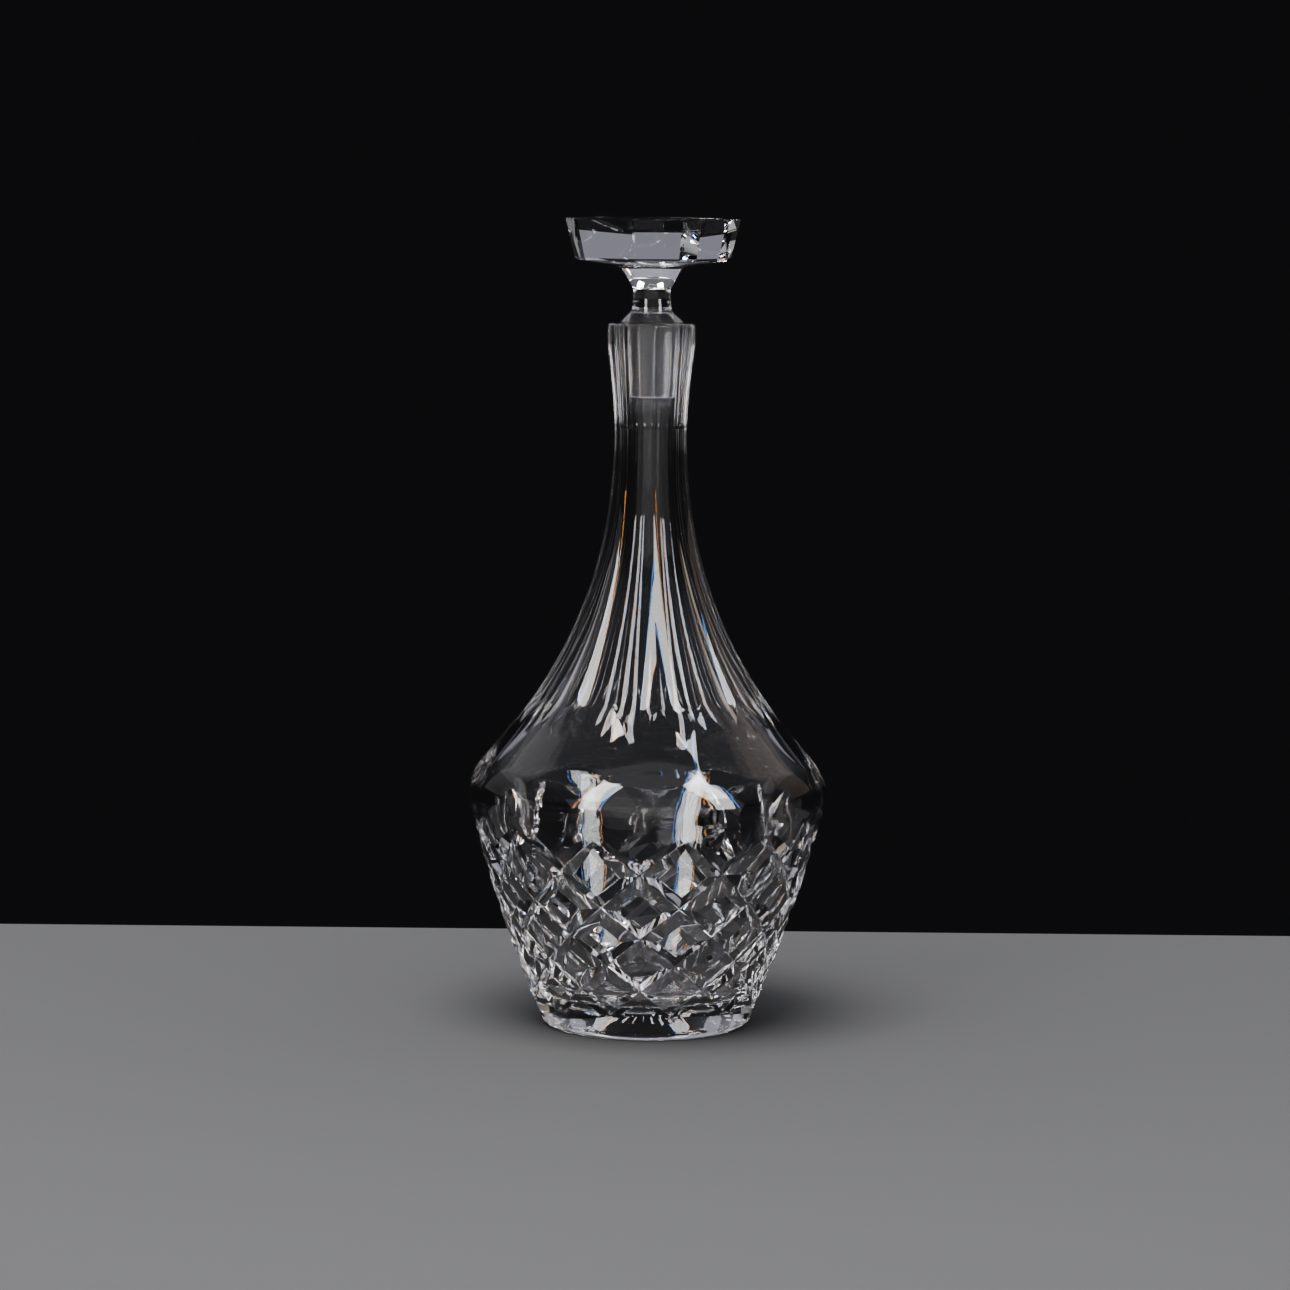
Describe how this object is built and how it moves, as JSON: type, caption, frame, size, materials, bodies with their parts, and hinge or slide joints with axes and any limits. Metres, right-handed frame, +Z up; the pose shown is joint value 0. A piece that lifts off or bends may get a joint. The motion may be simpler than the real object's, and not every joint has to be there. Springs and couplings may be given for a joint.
{
  "type": "decanter",
  "caption": "Cut crystal decanter with a fluted neck, a diamond-cut body and an eight-sided stopper ground into its mouth.",
  "frame": {"origin": "middle of the foot, on the surface that the decanter stands on", "axes": "+Z up along the axis of the glass; the cutting is symmetric, so -Y is taken as the front"},
  "size_m": [0.1422, 0.1422, 0.32],
  "materials": {
    "cut_crystal": "colourless lead crystal, wheel cut and polished bright, with a fine-ground seat inside the mouth",
    "stopper_crystal": "colourless lead crystal, cut and polished bright, with a fine-ground grey shank"
  },
  "bodies": {
    "decanter": {"decanter_body": "cut_crystal"},
    "stopper": {"stopper": "stopper_crystal"}
  },
  "joints": [
    {"name": "stopper_lift", "type": "slide", "parent": "decanter", "child": "stopper", "axis": [0, 0, 1], "range_m": [0, 0.05]}
  ]
}
